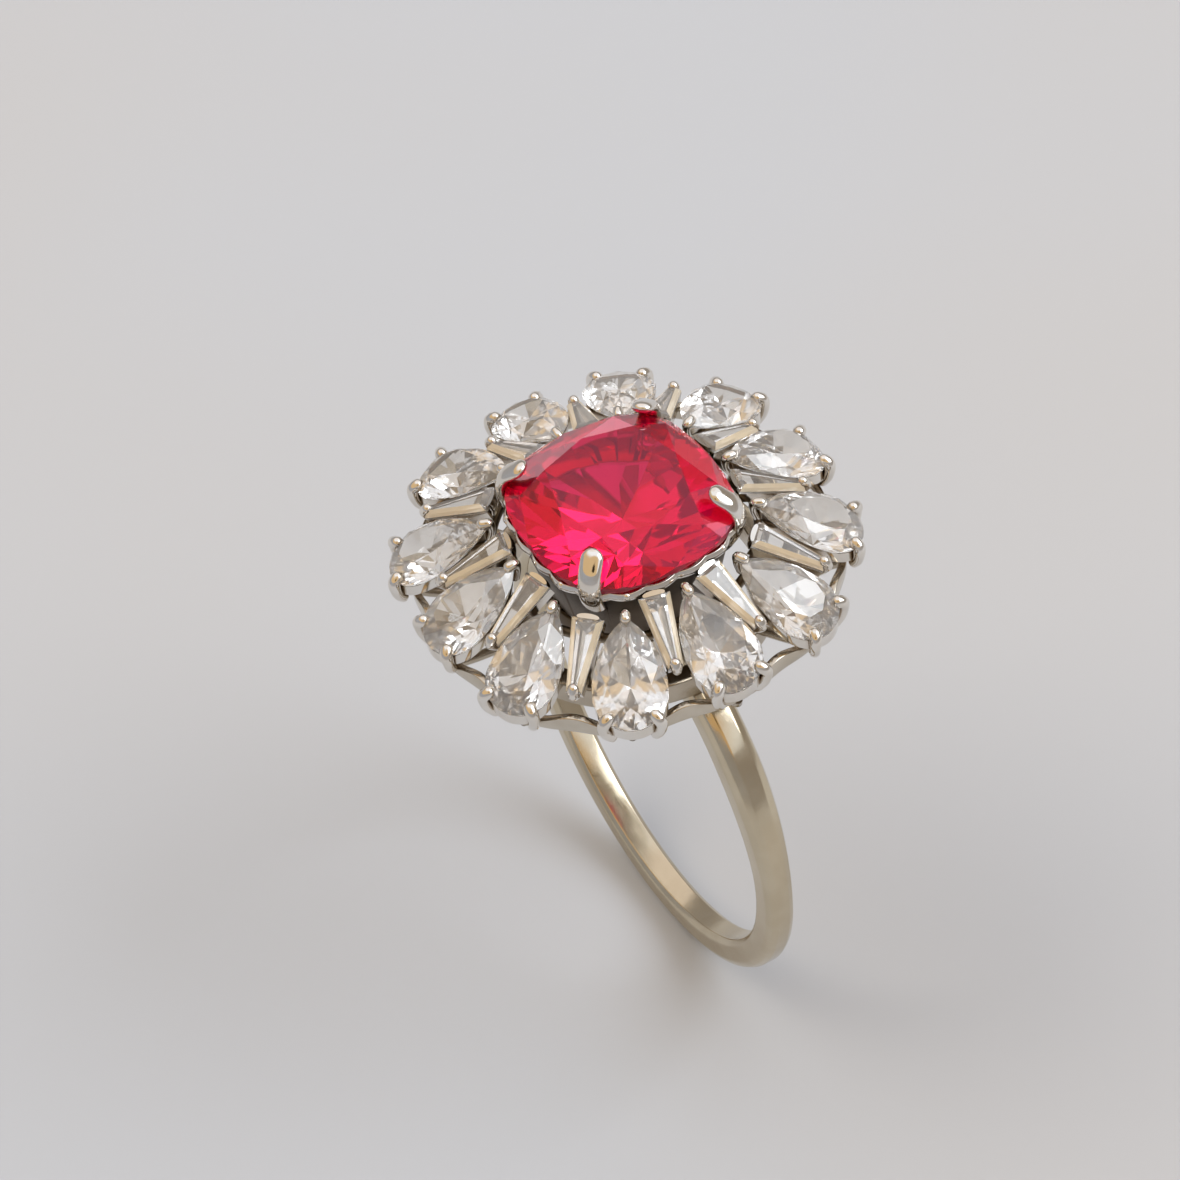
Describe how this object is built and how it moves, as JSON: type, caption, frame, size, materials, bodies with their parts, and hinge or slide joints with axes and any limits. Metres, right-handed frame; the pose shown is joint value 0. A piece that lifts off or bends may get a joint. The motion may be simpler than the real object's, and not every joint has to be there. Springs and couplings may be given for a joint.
{
  "type": "cocktail ring",
  "caption": "Finger ring with a cushion-cut red stone in a claw basket, a sloping halo of clear pear and tapered baguette stones, and a slim plain band.",
  "frame": {"origin": "lowest point of the band, under the middle of the head", "axes": "+Z from the palm side of the band up through the centre stone; +Y along the finger; +X across the finger in the plane of the hoop"},
  "size_m": [0.02, 0.0174, 0.0251],
  "materials": {
    "band_metal": "polished plated silver, lightly worn",
    "setting_metal": "bright polished plated silver",
    "red_stone": "faceted and polished transparent crimson stone",
    "clear_stone": "faceted and polished colourless stone"
  },
  "bodies": {
    "root": {"shank": "band_metal", "gallery_base": "setting_metal", "inner_rail": "setting_metal", "outer_rail": "setting_metal", "centre_basket": "setting_metal", "centre_stone": "red_stone", "pear_stone_01": "clear_stone", "pear_stone_02": "clear_stone", "pear_stone_03": "clear_stone", "pear_stone_04": "clear_stone", "pear_stone_05": "clear_stone", "pear_stone_06": "clear_stone", "pear_stone_07": "clear_stone", "pear_stone_08": "clear_stone", "pear_stone_09": "clear_stone", "pear_stone_10": "clear_stone", "pear_stone_11": "clear_stone", "pear_stone_12": "clear_stone", "pear_setting_01": "setting_metal", "pear_setting_02": "setting_metal", "pear_setting_03": "setting_metal", "pear_setting_04": "setting_metal", "pear_setting_05": "setting_metal", "pear_setting_06": "setting_metal", "pear_setting_07": "setting_metal", "pear_setting_08": "setting_metal", "pear_setting_09": "setting_metal", "pear_setting_10": "setting_metal", "pear_setting_11": "setting_metal", "pear_setting_12": "setting_metal", "baguette_stone_01": "clear_stone", "baguette_stone_02": "clear_stone", "baguette_stone_03": "clear_stone", "baguette_stone_04": "clear_stone", "baguette_stone_05": "clear_stone", "baguette_stone_06": "clear_stone", "baguette_stone_07": "clear_stone", "baguette_stone_08": "clear_stone", "baguette_stone_09": "clear_stone", "baguette_stone_10": "clear_stone", "baguette_stone_11": "clear_stone", "baguette_stone_12": "clear_stone", "baguette_setting_01": "setting_metal", "baguette_setting_02": "setting_metal", "baguette_setting_03": "setting_metal", "baguette_setting_04": "setting_metal", "baguette_setting_05": "setting_metal", "baguette_setting_06": "setting_metal", "baguette_setting_07": "setting_metal", "baguette_setting_08": "setting_metal", "baguette_setting_09": "setting_metal", "baguette_setting_10": "setting_metal", "baguette_setting_11": "setting_metal", "baguette_setting_12": "setting_metal"}
  },
  "joints": []
}
